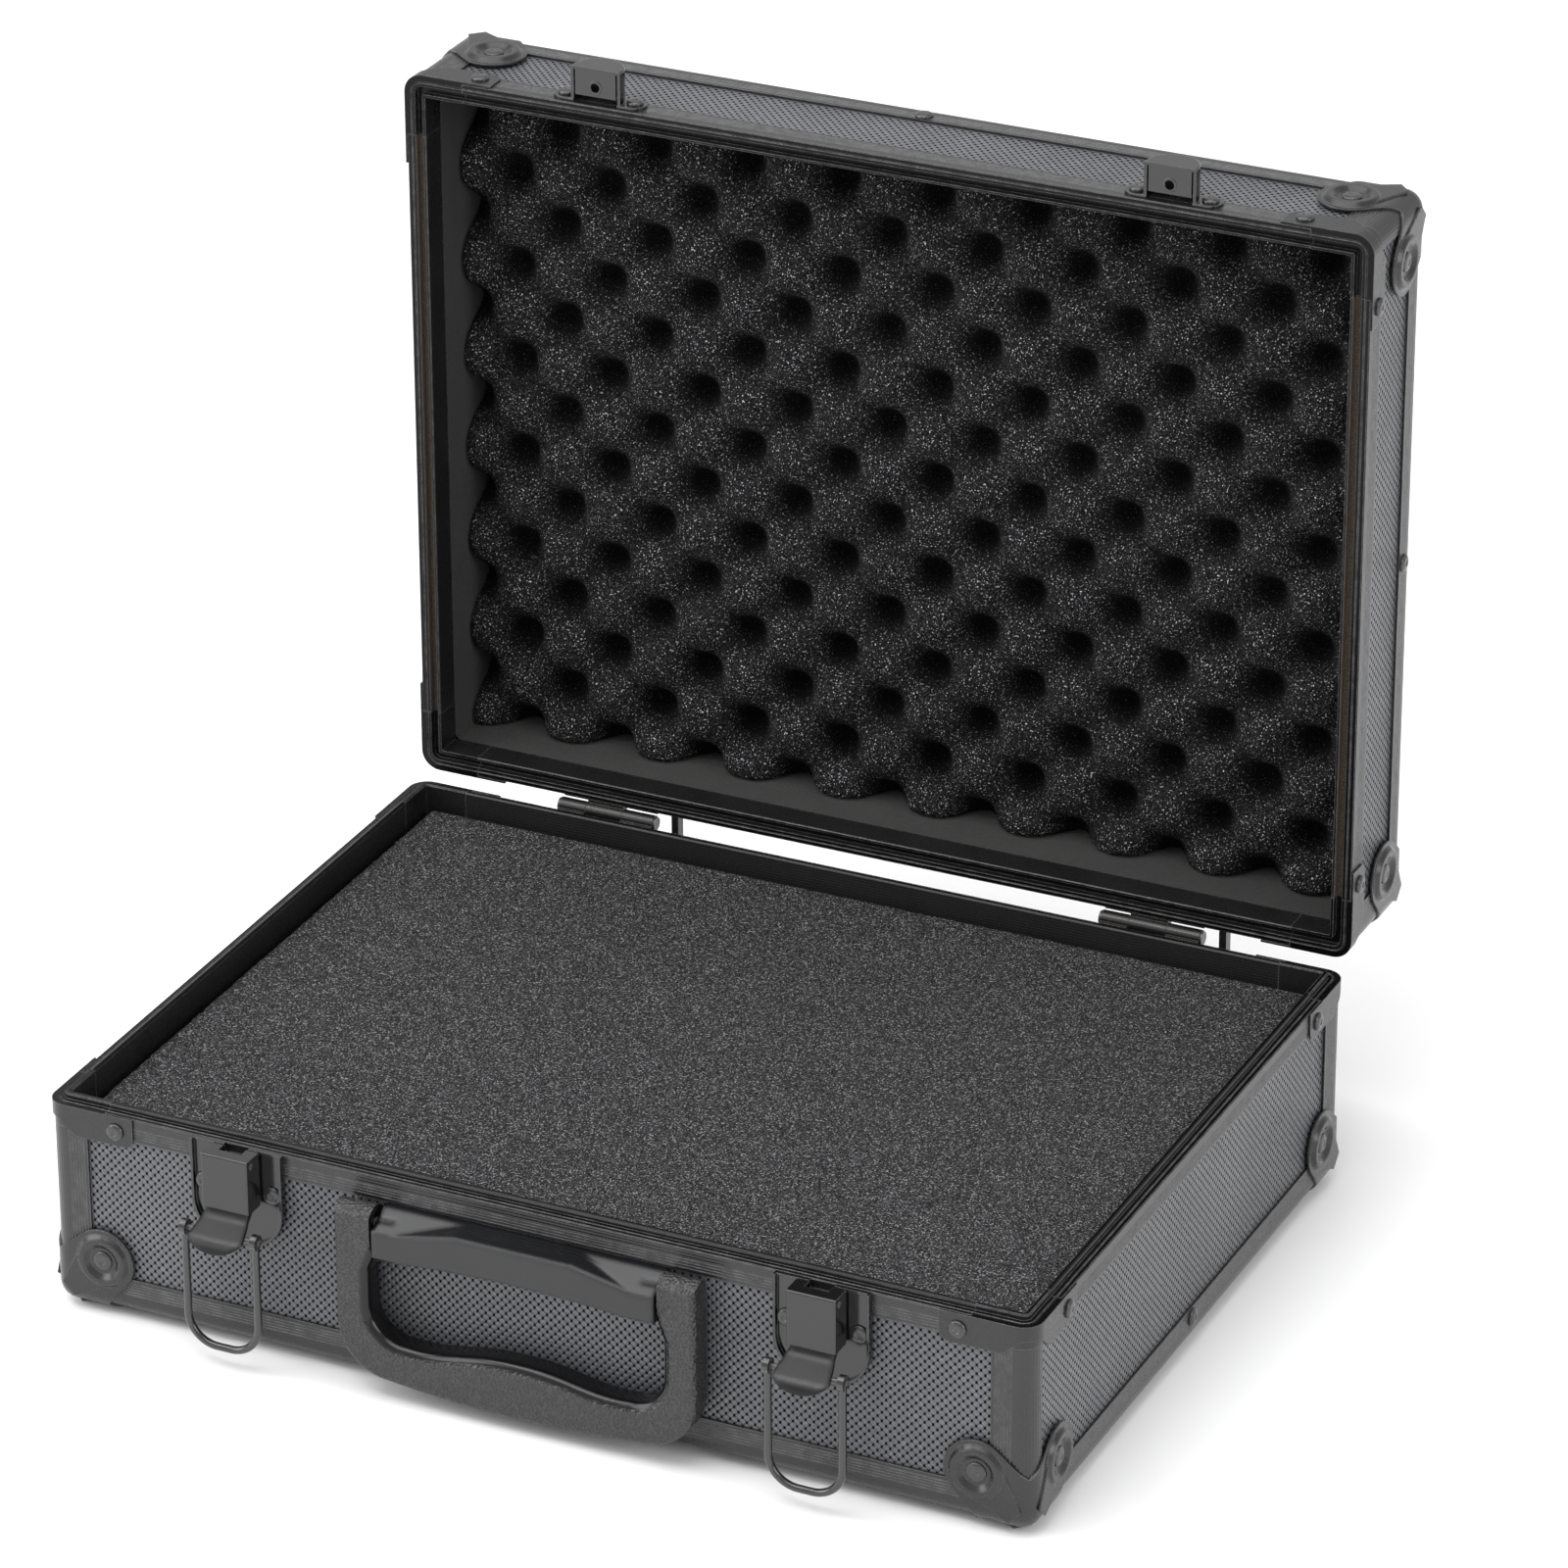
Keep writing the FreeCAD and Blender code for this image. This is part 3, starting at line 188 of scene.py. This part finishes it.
def studded(name, across, up):
    """Glossy board face with staggered rows of fine round studs and painted shade in the hollows between
    them.
    """
    s = Shader(name)
    dome = stud_domes(s, across, up)
    stud = s.fit(dome, 0.2, 0.62)
    face = s.mix(s.fit(s.noise(22.0, 3.0), 0.35, 0.65), (0.086, 0.088, 0.095), (0.11, 0.112, 0.121))
    speckled = s.mix(s.fit(s.noise(420.0, 3.0), 0.55, 0.72, 0.0, 0.45), face, (0.19, 0.192, 0.2))
    # the hollows between the studs get painted shade
    s.link(s.mix(stud, PAINTED_PIT_SHADE, speckled), "Base Color")
    s.link(s.fit(s.noise(900.0, 2.0), 0.3, 0.7, 0.24, 0.36), "Roughness")
    s.link(s.math("MULTIPLY", stud, 0.5), "Specular IOR Level")
    fine = s.bump(s.noise(1500.0, 2.0), 0.02 * MM, 0.5)
    s.link(s.bump(dome, STUD_HEIGHT, 1.0, fine), "Normal")
    return s.mat


def fine_ribs(s, deep, upright):
    """0 to 1 across the fine ribs of an extrusion's outer faces.

    deep is the axis of its half's depth; upright is true for the corner posts, which run along it.
    """
    place = s.axes()
    facing = s.facing()
    outer = s.math("LESS_THAN", s.math("ABSOLUTE", facing[deep]), 0.3)
    across = place[deep]
    if upright:
        sideways = s.math("GREATER_THAN", s.math("ABSOLUTE", facing[0]), 0.7)
        level = s.math("MULTIPLY", place[0], s.math("SUBTRACT", 1.0, sideways))
        across = s.math("MULTIPLY_ADD", place[3 - deep], sideways, level)
    wave = s.math("SINE", s.math("MULTIPLY", across, 2 * math.pi / RIB_PITCH))
    return s.math("MULTIPLY", s.fit(wave, -1.0, 1.0), outer)


def shade_mating_faces(s, body, deep, specular):
    """body with the faces that meet when the case is shut painted blacker, as painted shade, and duller
    than the outer ones.
    """
    mating_shade = s.fit(s.math("ABSOLUTE", s.facing()[deep]), 0.5, 0.85)
    s.link(s.fit(mating_shade, 0.0, 1.0, specular, MATING_SPECULAR), "Specular IOR Level")
    # the mating faces get painted shade
    return s.mix(mating_shade, body, MATING_FACE_SHADE)


def lay_seal(s, body, rough):
    """body and rough with the brown, crumbly strip in the groove of the lid's left and right rims."""
    axes = s.axes()
    across = s.math("ABSOLUTE", axes[0])
    inside = s.math("MULTIPLY", s.math("GREATER_THAN", across, SEAL_X[0]),
                    s.math("LESS_THAN", across, SEAL_X[1]))
    inside = s.math("MULTIPLY", inside, s.math("LESS_THAN", axes[1], SEAL_Y))
    crumbs = s.mix(s.fit(s.noise(1900.0, 2.0), 0.35, 0.65), (0.03, 0.022, 0.017), (0.1, 0.078, 0.062))
    return s.mix(inside, body, crumbs), s.math("MAXIMUM", rough, s.math("MULTIPLY", inside, 0.85))


def anodised(name, deep, upright=False, sealed=False, rim=False):
    """Dark anodised extrusion: fine ribs with painted shade lines along them, and grain; paler along its
    edges, both rubbed wear and a painted highlight.
    """
    specular = 0.6
    s = Shader(name, specular=specular)
    body = s.mix(s.fit(s.noise(35.0, 4.0), 0.35, 0.65), tuple(0.8 * c for c in DARK_FILM), DARK_FILM)
    if rim:
        body = shade_mating_faces(s, body, deep, specular)
    # paler edges: partly rubbed wear, partly a painted highlight where rounded edges would catch the lamps
    edge_unevenness = s.fit(s.noise(260.0, 3.0), 0.35, 0.65, 0.35, 1.0)
    worn_and_highlit_edge = s.math("MULTIPLY", s.edge_share(0.5 * MM), edge_unevenness)
    body = s.mix(worn_and_highlit_edge, body, tuple(12.0 * c for c in DARK_FILM))
    ribs = fine_ribs(s, deep, upright)
    # the ribs get painted shade lines along them
    body = s.mix(s.math("MULTIPLY", ribs, 0.35), body, PAINTED_RIB_SHADE)
    grain = s.noise(2200.0, 2.0)
    rough = s.fit(grain, 0.3, 0.7, 0.22, 0.36)
    if sealed:
        body, rough = lay_seal(s, body, rough)
    s.link(body, "Base Color")
    s.link(rough, "Roughness")
    raised = s.bump(ribs, RIB_HEIGHT, 0.8, s.worn_edges(0.25 * MM))
    s.link(s.bump(grain, 0.02 * MM, 0.6, raised), "Normal")
    return s.mat


def enamelled(name, tone, rough, coat, ripple, edge, specular=0.7, pressed=None, deep=None):
    """Black-plated or enamelled steel, slightly uneven, with paler edges: rubbed wear and a painted
    highlight.

    ripple, edge and pressed are in millimetres.  pressed is how far the sheet's pressed, pillowed
    edges reach in, if further than the paler edge, and deep is given for a rim, whose mating
    faces are painted blacker, as painted shade.
    """
    s = Shader(name, specular=specular, coat=coat)
    soft = s.noise(160.0, 3.0)
    body = s.mix(s.fit(soft, 0.4, 0.7, 0.0, 0.5), tone, tuple(1.3 * c for c in tone))
    if deep is not None:
        body = shade_mating_faces(s, body, deep, specular)
    # paler edges: partly rubbed wear, partly a painted highlight where rounded edges would catch the lamps
    edge_unevenness = s.fit(s.noise(300.0, 3.0), 0.35, 0.65, 0.4, 1.0)
    worn_and_highlit_edge = s.math("MULTIPLY", s.edge_share(edge * MM), edge_unevenness)
    s.link(s.mix(worn_and_highlit_edge, body, tuple(14.0 * c for c in tone)), "Base Color")
    s.link(s.fit(s.noise(700.0, 3.0), 0.3, 0.7, rough * 0.85, rough * 1.2), "Roughness")
    s.link(s.bump(soft, ripple * MM, 0.5, s.worn_edges((pressed or edge) * MM)), "Normal")
    return s.mat


def rim_enamel(name, deep):
    return enamelled(name, RIM_CORNER_TONE, rough=0.28, coat=0.0, ripple=0.06, edge=0.5,
                     specular=0.55, deep=deep)


def felt(name):
    s = Shader(name, rough=0.95, specular=0.1)
    fibre = s.noise(1400.0, 4.0, 0.7)
    warm = s.mix(s.fit(s.noise(60.0, 3.0), 0.3, 0.7), (0.007, 0.0064, 0.006), (0.013, 0.012, 0.0113))
    s.link(s.mix(s.fit(fibre, 0.45, 0.75), warm, (0.026, 0.024, 0.0225)), "Base Color")
    s.link(s.bump(fibre, 0.5 * MM, 0.9), "Normal")
    s.set("Sheen Weight", 0.12)
    s.set("Sheen Roughness", 0.6)
    return s.mat


def foam(name, dark, pale, glints, sparse, shaded_from=0.0):
    """Open-cell foam: paler struts, painted shade in the cells between them and painted glints, fewer the
    higher sparse is.

    glints is how many times brighter than pale they are; shaded_from is the y from which it darkens.
    """
    s = Shader(name, specular=0.1)
    cell = s.cells(1400.0)
    coarse = s.noise(700.0, 3.0, 0.65)
    strut = s.mix(s.fit(coarse, 0.3, 0.7), dark, pale)
    # painted shade in the cells between the struts
    pore_shade = tuple(0.4 * c for c in dark)
    bright = tuple(min(1.0, glints * c) for c in pale)
    # painted glints: specks brighter than the struts, where the roughness is also lowered
    glint = s.fit(s.noise(1500.0, 1.0), sparse, sparse + 0.12)
    tone = s.mix(glint, s.mix(s.fit(cell, 0.3, 0.75), strut, pore_shade), bright)
    if shaded_from:
        shade = s.fit(s.axes()[1], shaded_from, shaded_from + 9 * MM, 0.0, 0.92)
        tone = s.mix(shade, tone, DEEP_FOAM_TONE)
    s.link(tone, "Base Color")
    s.link(s.math("SUBTRACT", 0.92, s.math("MULTIPLY", glint, 0.5)), "Roughness")
    s.link(s.bump(cell, 0.5 * MM, 0.9, s.bump(coarse, 0.9 * MM, 0.9)), "Normal")
    return s.mat


def grained_grip(name):
    """Leather-grained moulding whose inner finger edge is smooth and glossy, with painted shade darkening
    it.
    """
    s = Shader(name)
    place = s.axes()
    facing = s.facing()
    inward = s.math("MULTIPLY", s.math("MULTIPLY", facing[0], s.math("SIGN", place[0])), -1.0)
    beside = s.fit(s.math("ABSOLUTE", place[0]), *LIP_X)
    arms = s.math("MULTIPLY", s.fit(inward, *LIP_FACING), beside)
    bottom = s.math("MULTIPLY", s.fit(facing[2], *LIP_FACING), s.fit(place[2], *LIP_Z))
    lip = s.math("MAXIMUM", arms, bottom)
    grain = s.math("MULTIPLY", s.cells(850.0), s.math("SUBTRACT", 1.0, lip))
    skin = s.mix(s.fit(s.noise(40.0, 3.0), 0.3, 0.7), (0.008, 0.008, 0.0087), (0.013, 0.013, 0.014))
    skin = s.mix(s.fit(grain, 0.35, 0.7), skin, (0.022, 0.022, 0.023))
    # the smooth inner edge gets a darker colour as painted shade
    s.link(s.mix(lip, skin, (0.004, 0.004, 0.0045)), "Base Color")
    s.link(s.fit(lip, 0.0, 1.0, 0.34, 0.18), "Roughness")
    s.link(s.fit(lip, 0.0, 1.0, 0.6, 0.4), "Specular IOR Level")
    s.link(s.bump(grain, 0.6 * MM, 1.0), "Normal")
    return s.mat


def moulded(name):
    """Satin black moulding, a little bluish and glossier on its upper faces."""
    s = Shader(name, specular=0.6)
    cloud = s.fit(s.noise(50.0, 3.0), 0.3, 0.7)
    s.link(s.mix(cloud, (0.004, 0.0042, 0.005), (0.007, 0.0074, 0.009)), "Base Color")
    s.link(s.fit(s.facing()[2], 0.3, 0.8, 0.36, 0.09), "Roughness")
    s.link(s.bump(s.noise(900.0, 3.0), 0.03 * MM, 0.5, s.worn_edges(3.0 * MM)), "Normal")
    return s.mat


# ---- paint for the nodes that stay as they are in the CAD --------------------------
slot_paints = {
    "corner_metal": enamelled("corner_enamel", CORNER_TONE, rough=0.26, coat=0.1, ripple=0.06, edge=0.5,
                              specular=0.55, pressed=1.3),
    "rivet": enamelled("rivet_enamel", (0.013, 0.013, 0.0135), rough=0.22, coat=0.1, ripple=0.04, edge=0.4),
    "latch": enamelled("latch_plating", PLATED_TONE, rough=0.13, coat=0.15, ripple=0.03, edge=0.4,
                       specular=0.65),
    "wire": enamelled("wire_plating", (0.01, 0.01, 0.0105), rough=0.18, coat=0.3, ripple=0.03, edge=0.1),
    "pin": enamelled("pin_steel", (0.04, 0.038, 0.037), rough=0.3, coat=0.1, ripple=0.03, edge=0.15),
    "hinge": enamelled("hinge_steel", HINGE_TONE, rough=0.26, coat=0.1, ripple=0.05, edge=0.3,
                       specular=0.5),
    "handle": grained_grip("grip_moulding"),
    "bracket": moulded("bracket_moulding"),
    "lining": felt("lining_felt"),
    "foam": foam("charcoal_foam", dark=(0.016, 0.0155, 0.016), pale=(0.08, 0.078, 0.081), glints=3.2,
                 sparse=0.58),
}
board_paints = {
    "x": studded("studded_board_yz", "Y", "Z"),
    "y": studded("studded_board_xz", "X", "Z"),
    "z": studded("studded_board_xy", "X", "Y"),
}
lever_paint = enamelled("lever_plating", PLATED_TONE, rough=0.2, coat=0.0, ripple=0.03, edge=0.35,
                        specular=0.35, pressed=2.5)
node_paints = {
    "base_edge_profiles": anodised("anodised_base_edges", deep=2),
    "base_rim_profiles": anodised("anodised_base_rim", deep=2, rim=True),
    "base_corner_posts": anodised("anodised_base_posts", deep=2, upright=True),
    "lid_edge_profiles": anodised("anodised_lid_edges", deep=1),
    "lid_rim_profiles": anodised("anodised_lid_rim", deep=1, sealed=True, rim=True),
    "lid_corner_posts": anodised("anodised_lid_posts", deep=1, upright=True),
    "base_rim_corners": rim_enamel("base_rim_enamel", deep=2),
    "lid_rim_corners": rim_enamel("lid_rim_enamel", deep=1),
    "latch_lever_left": lever_paint,
    "latch_lever_right": lever_paint,
}


def node_paint(name, slot):
    """A board's paint follows the plane that it lies in; other nodes go by name, then by slot."""
    if slot == "panel":
        low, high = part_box(name)
        return board_paints["xyz"[min(range(3), key=lambda k: high[k] - low[k])]]
    return node_paints.get(name) or slot_paints[slot]


for part in frame["record"]["subparts"]:
    mesh = nodes[part["node"]].data
    mesh.materials.clear()
    mesh.materials.append(node_paint(part["node"], part["material_slot"]))


# ---- soft pieces -------------------------------------------------------------------
FOAM_STEP = 1.6 * MM
RAGGED = 1.1 * MM                        # how far knife-cut edges of foam wander inwards
ROUNDED_BY = 0.9 * MM                    # how far the top falls at its edge
ROUNDED_OVER = 1.2 * MM
ROUGH_BY = 0.22 * MM
ROUGH_GRAIN = 900.0                      # noise cells in a metre
RAGGED_GRAIN = 0.45                      # as a share of ROUGH_GRAIN
OTHER_EDGES = Vector((9, 4, 2))          # so that the two pairs of edges wander differently

PEAK_PITCH = 40.0 * MM
PIT_DEPTH = 17.5 * MM
PIT_AT = Vector((-9.5 * MM, 262.3 * MM))

FELT_THICKNESS = 1.0 * MM
FELT_FOLD = 2.5 * MM
FOLD_STEPS = 5
WALL_ROWS = 14


def mesh_piece(name, points, faces, paint, body, smooth=True):
    mesh = bpy.data.meshes.new(name)
    mesh.from_pydata(points, [], faces)
    mesh.validate()
    mesh.update()
    for poly in mesh.polygons:
        poly.use_smooth = smooth
    mesh.materials.append(paint)
    piece = bpy.data.objects.new(name, mesh)
    bpy.context.scene.collection.objects.link(piece)
    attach(piece, body)
    return piece


def foam_slab(name, size, origin, across, along, up, depth, height, body, paint):
    """Foam slab whose top is a fine grid; height(u, v) is how far below the top it lies.

    size is its two sides, origin its lowest corner on the top plane, and across, along
    and up its directions.
    """
    nu, nv = int(size[0] / FOAM_STEP), int(size[1] / FOAM_STEP)
    points, faces = [], []
    for j in range(nv + 1):
        for i in range(nu + 1):
            u, v = size[0] * i / nu, size[1] * j / nv
            spot = Vector((u, v, depth)) * ROUGH_GRAIN
            du = dv = 0.0
            if i in (0, nu):
                inwards = 1 if i == 0 else -1
                du = inwards * RAGGED * abs(noise.noise(spot * RAGGED_GRAIN))
            if j in (0, nv):
                inwards = 1 if j == 0 else -1
                dv = inwards * RAGGED * abs(noise.noise(spot * RAGGED_GRAIN + OTHER_EDGES))
            edge = min(u, v, size[0] - u, size[1] - v)
            drop = height(u, v) + ROUNDED_BY * math.exp(-edge / ROUNDED_OVER)
            drop += ROUGH_BY * (0.5 + 0.5 * noise.noise(spot))
            points.append(origin + across * (u + du) + along * (v + dv) - up * drop)
    for j in range(nv):
        for i in range(nu):
            a = j * (nu + 1) + i
            faces.append((a, a + 1, a + nu + 2, a + nu + 1))
    # the sides go down from the grid's border, which is closed below by a fan of triangles
    rim = list(range(nu + 1))
    rim += [j * (nu + 1) + nu for j in range(1, nv + 1)]
    rim += [nv * (nu + 1) + i for i in range(nu - 1, -1, -1)]
    rim += [j * (nu + 1) for j in range(nv - 1, 0, -1)]
    first = len(points)
    centre = origin + across * size[0] / 2 + along * size[1] / 2
    for k in rim:
        flat = points[k] - centre
        points.append(centre + flat - up * (flat.dot(up) + depth))
    n = len(rim)
    for k in range(n):
        faces.append((rim[(k + 1) % n], rim[k], first + k, first + (k + 1) % n))
    points.append(centre - up * depth)
    for k in range(n):
        faces.append((first + (k + 1) % n, first + k, len(points) - 1))
    if across.cross(along).dot(up) < 0:
        faces = [tuple(reversed(f)) for f in faces]
    return mesh_piece(name, points, faces, paint, body)


def base_foam_piece():
    low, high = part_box("base_foam_block")

    def sag(u, v):
        return 0.12 * MM * noise.noise(Vector((u * 60, v * 60, 3)))

    base_foam = foam_slab("base_foam", (high.x - low.x, high.y - low.y), Vector((low.x, low.y, high.z)),
                          X, Y, Z, high.z - low.z, sag, "base", slot_paints["foam"])
    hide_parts("base_foam_block")


def lid_foam_piece():
    """Egg-crate sheet: rows of pits and peaks, staggered."""
    low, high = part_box("lid_egg_crate_foam")
    turn = 2 * math.pi / PEAK_PITCH

    def egg_crate(u, v):
        x, z = low.x + u, low.z + v
        wave = -math.cos(turn * (x - PIT_AT.x)) * math.cos(turn * (z - PIT_AT.y))
        wave += 0.10 * noise.noise(Vector((x * 45, z * 45, 1.0)))
        level = max(0.0, min(1.0, 0.5 - 0.5 * wave))
        return PIT_DEPTH * (0.42 * level + 0.58 * level ** 3)

    paint = foam("egg_crate_foam", dark=(0.006, 0.006, 0.0063), pale=(0.034, 0.034, 0.0355), glints=16.0,
                 sparse=0.63, shaded_from=low.y + 3 * MM)
    lid_foam = foam_slab("lid_foam", (high.x - low.x, high.z - low.z), Vector((low.x, low.y, low.z)),
                         X, Z, -Y, high.y - low.y, egg_crate, "lid", paint)
    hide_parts("lid_egg_crate_foam")


def lining_tray(name, node, up, body):
    """Felt glued to the inside of the boards, as one open tray with turned-up walls."""
    low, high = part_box(node)
    along = Y if abs(up.z) > 0.5 else Z
    hu = (high.x - low.x) / 2 - FELT_THICKNESS
    hv = (high - low).dot(along) / 2 - FELT_THICKNESS
    tall = abs((high - low).dot(up)) - FELT_THICKNESS
    floor = (low + high) / 2 - up * (abs((high - low).dot(up)) / 2 - FELT_THICKNESS)
    loop = []
    for cu, cv, start in ((1, 1, 0), (-1, 1, 90), (-1, -1, 180), (1, -1, 270)):
        for k in range(FOLD_STEPS + 1):
            a = math.radians(start + 90 * k / FOLD_STEPS)
            loop.append((cu * (hu - FELT_FOLD) + FELT_FOLD * math.cos(a),
                         cv * (hv - FELT_FOLD) + FELT_FOLD * math.sin(a)))
    points, faces = [], []
    for r in range(WALL_ROWS + 1):
        for u, v in loop:
            points.append(floor + X * u + along * v + up * (tall * r / WALL_ROWS))
    n = len(loop)
    for r in range(WALL_ROWS):
        for k in range(n):
            a, b = r * n + k, r * n + (k + 1) % n
            faces.append((a, a + n, b + n, b))
    points.append(floor)
    for k in range(n):
        faces.append((k, (k + 1) % n, len(points) - 1))
    tray = mesh_piece(name, points, faces, slot_paints["lining"], body, smooth=False)
    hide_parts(node)


base_foam_piece()
lid_foam_piece()
lining_tray("base_felt_lining", "base_lining", Z, "base")
lining_tray("lid_felt_lining", "lid_lining", -Y, "lid")


# ---- floor, light and camera -------------------------------------------------------
FLOOR_REACH = 14.0
FLOOR_Z = -0.0004
WORLD_STRENGTH = 0.78
CAMERA_AT = Vector((1.10892, -2.28985, 1.43970))
CAMERA_LOOKS_AT = Vector((0.024177, 0.0, 0.189575))
CAMERA_ROLL = math.radians(-0.2072)
CAMERA_LENS = 174.3165                   # millimetres, on a sensor 36 mm wide


def floor_piece():
    s = Shader("floor_paper", rough=0.85, specular=0.2)
    s.link(s.mix(s.fit(s.noise(3.0, 3.0), 0.3, 0.7), (0.9, 0.9, 0.9), (0.93, 0.93, 0.93)), "Base Color")
    mesh = bpy.data.meshes.new("studio_floor")
    corners = [(x * FLOOR_REACH, y * FLOOR_REACH, FLOOR_Z) for x, y in ((-1, -1), (1, -1), (1, 1), (-1, 1))]
    mesh.from_pydata(corners, [], [(0, 1, 2, 3)])
    mesh.materials.append(s.mat)
    plane = bpy.data.objects.new("studio_floor", mesh)
    bpy.context.scene.collection.objects.link(plane)


def soft_light(name, place, target, size, power):
    data = bpy.data.lights.new(name, "AREA")
    data.shape = "RECTANGLE"
    data.size, data.size_y = size
    data.energy = power
    lamp = bpy.data.objects.new(name, data)
    lamp.location = place
    lamp.rotation_euler = (Vector(target) - Vector(place)).to_track_quat("-Z", "Y").to_euler()
    bpy.context.scene.collection.objects.link(lamp)


def white_world():
    world = bpy.data.worlds.new("studio")
    world.use_nodes = True
    background = world.node_tree.nodes["Background"].inputs
    background["Color"].default_value = (1.0, 1.0, 1.0, 1.0)
    background["Strength"].default_value = WORLD_STRENGTH
    bpy.context.scene.world = world


def photo_camera():
    data = bpy.data.cameras.new("camera")
    data.sensor_width = 36.0
    data.lens = CAMERA_LENS
    data.clip_end = 100.0
    camera = bpy.data.objects.new("camera", data)
    aim = (CAMERA_LOOKS_AT - CAMERA_AT).to_track_quat("-Z", "Y").to_matrix().to_4x4()
    camera.matrix_world = Matrix.Translation(CAMERA_AT) @ aim @ Matrix.Rotation(CAMERA_ROLL, 4, "Z")
    bpy.context.scene.collection.objects.link(camera)
    bpy.context.scene.camera = camera


floor_piece()
white_world()
soft_light("top_softbox", (-0.4, -0.2, 2.4), target=(0, 0, 0.1), size=(3.0, 2.4), power=44)
soft_light("left_softbox", (-2.3, -1.4, 1.5), target=(0, 0, 0.2), size=(2.0, 2.0), power=46)
soft_light("edge_strip", (-0.35, -1.3, 2.3), target=(0, -0.15, 0.08), size=(2.6, 0.14), power=13)
soft_light("right_softbox", (2.4, -0.6, 1.2), target=(0, 0, 0.15), size=(1.2, 1.4), power=20)
photo_camera()
bpy.context.scene.view_settings.view_transform = "Standard"
